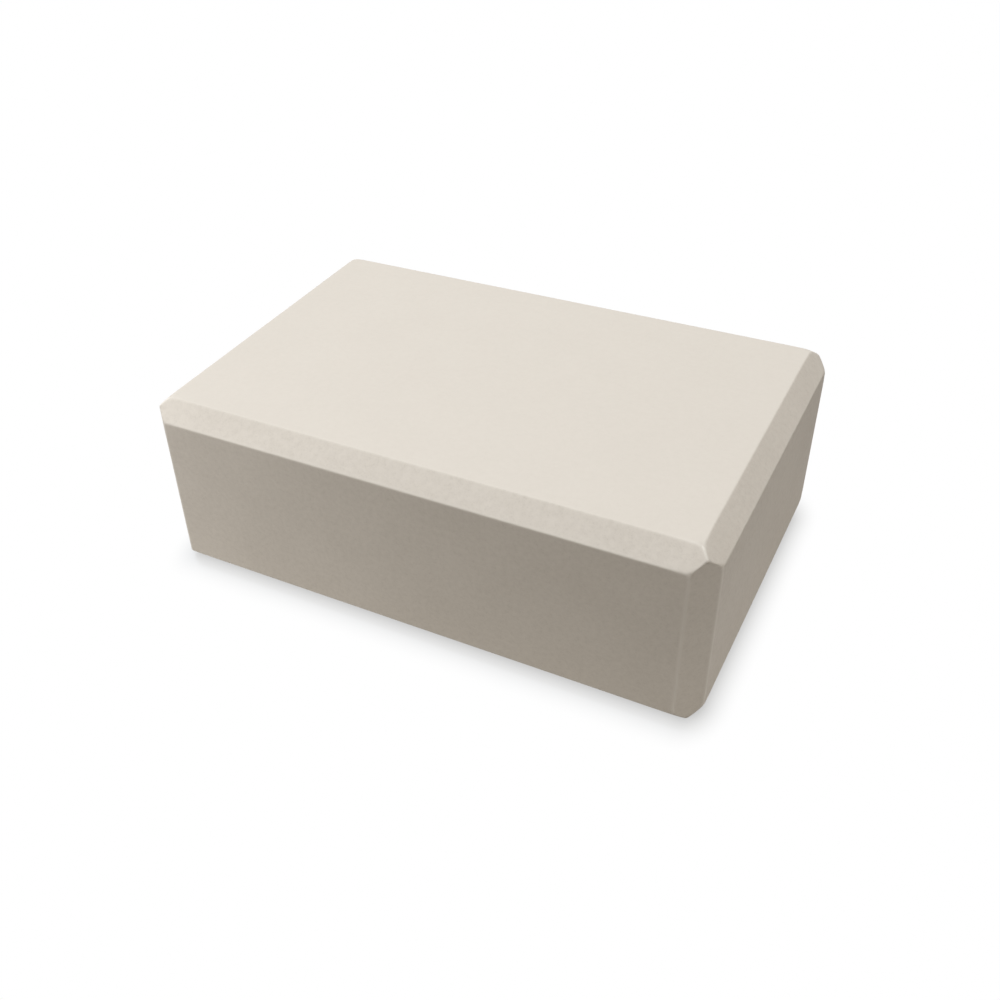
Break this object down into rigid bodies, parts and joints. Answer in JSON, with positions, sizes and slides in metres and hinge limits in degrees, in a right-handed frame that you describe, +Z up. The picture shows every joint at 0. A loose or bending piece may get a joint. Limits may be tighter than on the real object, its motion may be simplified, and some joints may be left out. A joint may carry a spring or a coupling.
{
  "type": "yoga block",
  "caption": "Firm foam yoga block, a bevelled rectangular brick bonded from foam plies, used lying flat, on its long side or on end as a prop for hands, hips or back.",
  "frame": {"origin": "centre of the base face, on the surface that the block lies on", "axes": "+X along the length, +Y along the width towards the back, +Z up through the plies"},
  "size_m": [0.229, 0.152, 0.0789],
  "materials": {
    "foam": "matt bone-coloured closed-cell EVA foam: smooth pressed broad faces, fine cell grain on the cut sides and bevels, paler along the ridges",
    "bond_film": "thin translucent hot-melt film of the foam's own tone, seen only as a hairline on the cut sides"
  },
  "bodies": {
    "root": {"bottom_ply": "foam", "middle_ply": "foam", "top_ply": "foam", "lower_bond_film": "bond_film", "upper_bond_film": "bond_film"}
  },
  "joints": []
}
